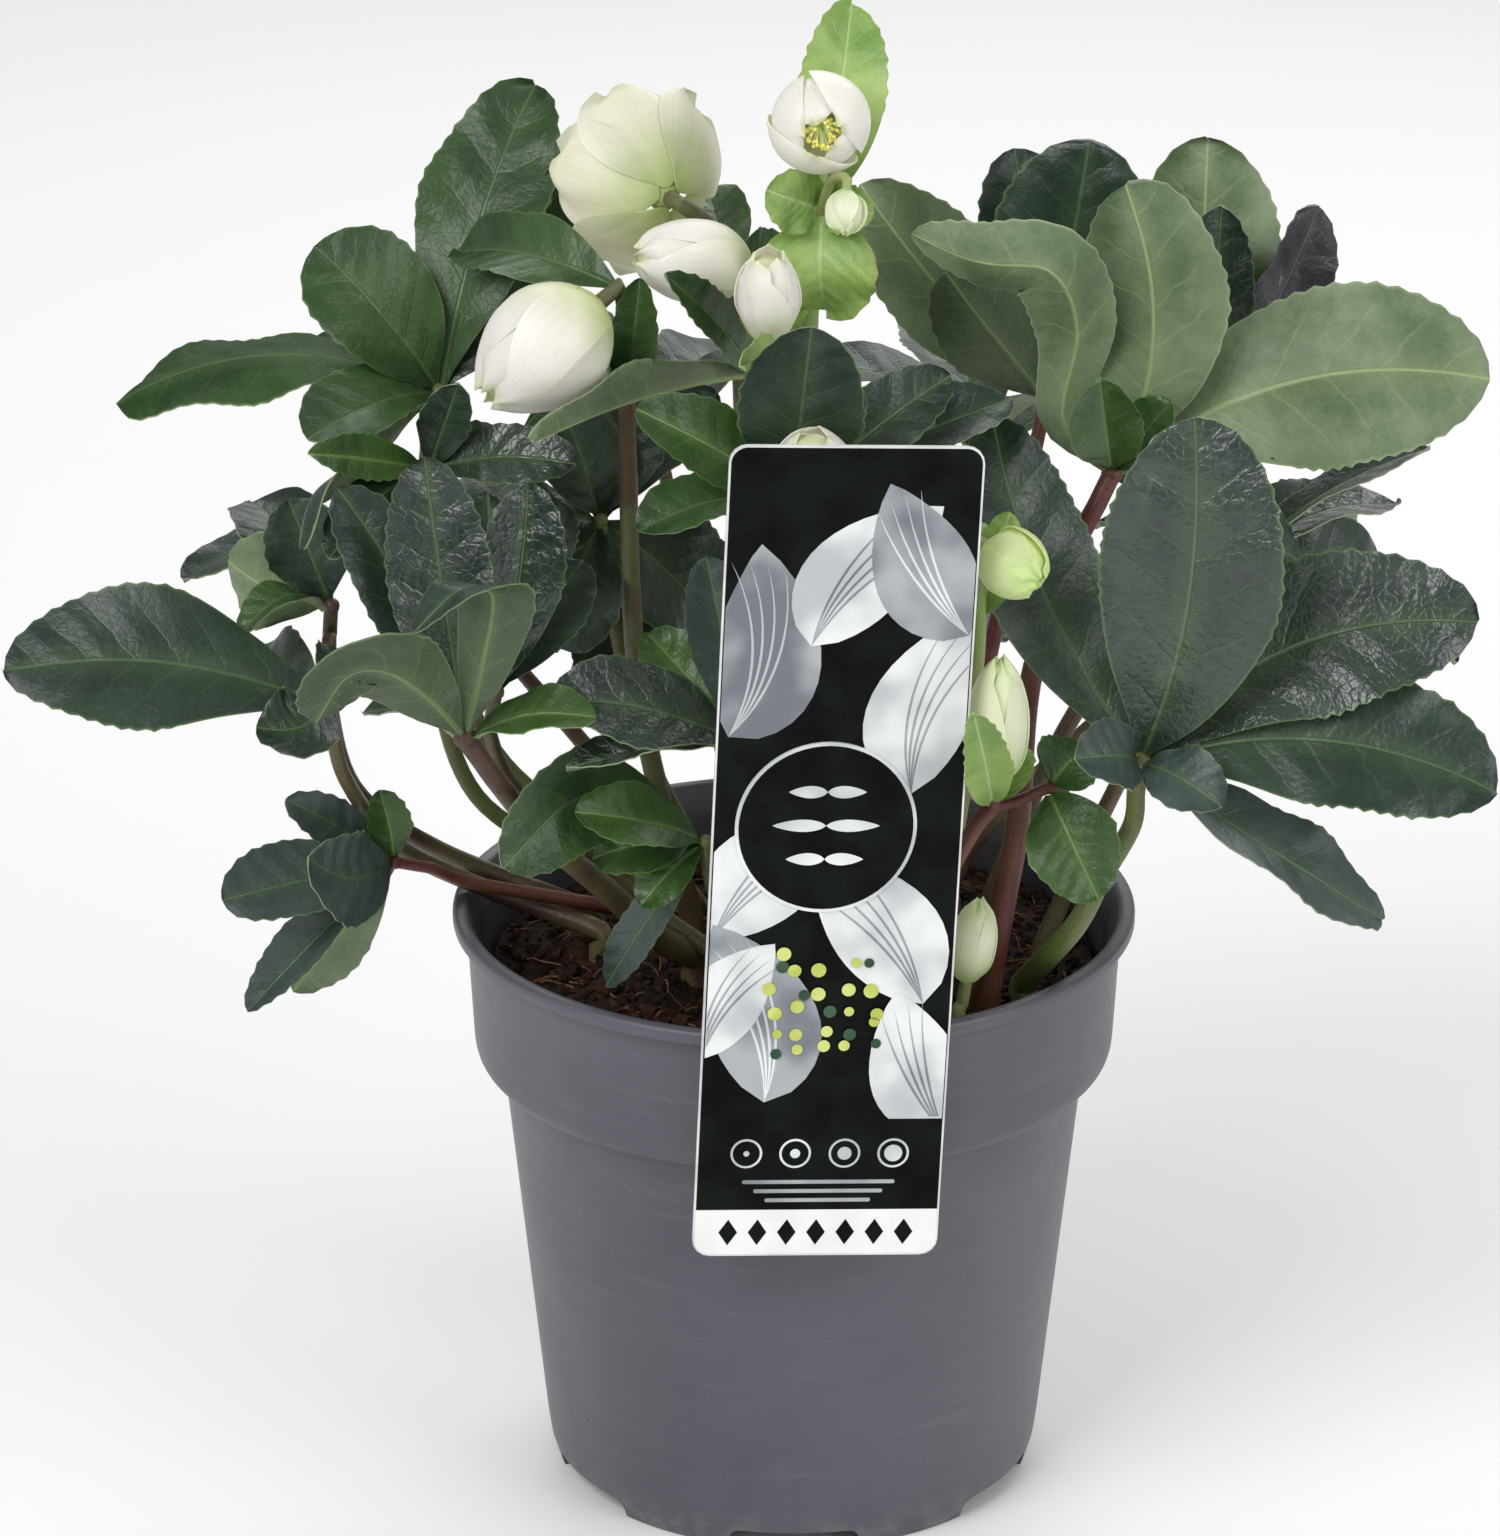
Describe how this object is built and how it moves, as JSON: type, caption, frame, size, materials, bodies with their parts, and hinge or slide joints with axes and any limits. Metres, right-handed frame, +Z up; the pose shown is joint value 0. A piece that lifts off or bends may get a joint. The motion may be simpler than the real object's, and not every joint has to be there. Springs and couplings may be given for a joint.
{
  "type": "potted hellebore plant",
  "caption": "White-flowered hellebore with leathery hand-shaped leaves, buds and light green bracts, rooted in soil in a round tapered plastic pot with an upright label hooked over the lip.",
  "frame": {"origin": "middle of the plant's box in plan, on the ground under the pot's feet", "axes": "+Z up; -Y towards the viewer, the side with the label; +X to the viewer's right"},
  "size_m": [0.2522, 0.1863, 0.2662],
  "materials": {
    "pot": "satin",
    "soil": "rough, crumbly",
    "label": "printed, satin",
    "petal": "soft, matt",
    "stamens": "matt",
    "flower_stalk": "satin",
    "leaf_stalk": "satin, speckled",
    "leaf": "leathery, slightly glossy"
  },
  "bodies": {
    "root": {"bloom_egg": "petal", "bloom_globe": "petal", "bloom_globe_stamens": "stamens", "bloom_green": "petal", "bloom_half_open": "petal", "bloom_hanging": "petal", "bloom_hidden": "petal", "bloom_low": "petal", "bloom_open": "petal", "bloom_open_stamens": "stamens", "bloom_pale": "petal", "bloom_side": "petal", "bloom_tulip": "petal", "flower_stalk_egg": "flower_stalk", "flower_stalk_green": "flower_stalk", "flower_stalk_half_open": "flower_stalk", "flower_stalk_hidden": "flower_stalk", "flower_stalk_low": "flower_stalk", "flower_stalk_open": "flower_stalk", "flower_stalk_pale": "flower_stalk", "flower_stalk_top": "flower_stalk", "flower_stalk_tulip": "flower_stalk", "frond_arch": "leaf", "frond_arch_stalk": "leaf_stalk", "frond_back_right": "leaf", "frond_centre": "leaf", "frond_far_right": "leaf", "frond_front": "leaf", "frond_front_stalk": "leaf_stalk", "frond_inner_left": "leaf", "frond_left": "leaf", "frond_left_stalk": "leaf_stalk", "frond_low_left": "leaf", "frond_low_left_stalk": "leaf_stalk", "frond_lower_centre": "leaf", "frond_middle_left": "leaf", "frond_purple": "leaf", "frond_purple_stalk": "leaf_stalk", "frond_rear_far": "leaf", "frond_rear_inner": "leaf", "frond_rear_left": "leaf", "frond_rear_low": "leaf", "frond_rear_right": "leaf", "frond_right": "leaf", "frond_right_stalk": "leaf_stalk", "frond_side_right": "leaf", "frond_upper_left": "leaf", "frond_upper_left_stalk": "leaf_stalk", "frond_upper_right": "leaf", "frond_upper_right_stalk": "leaf_stalk", "frond_young": "leaf", "label": "label", "pot": "pot", "soil": "soil"}
  },
  "joints": []
}
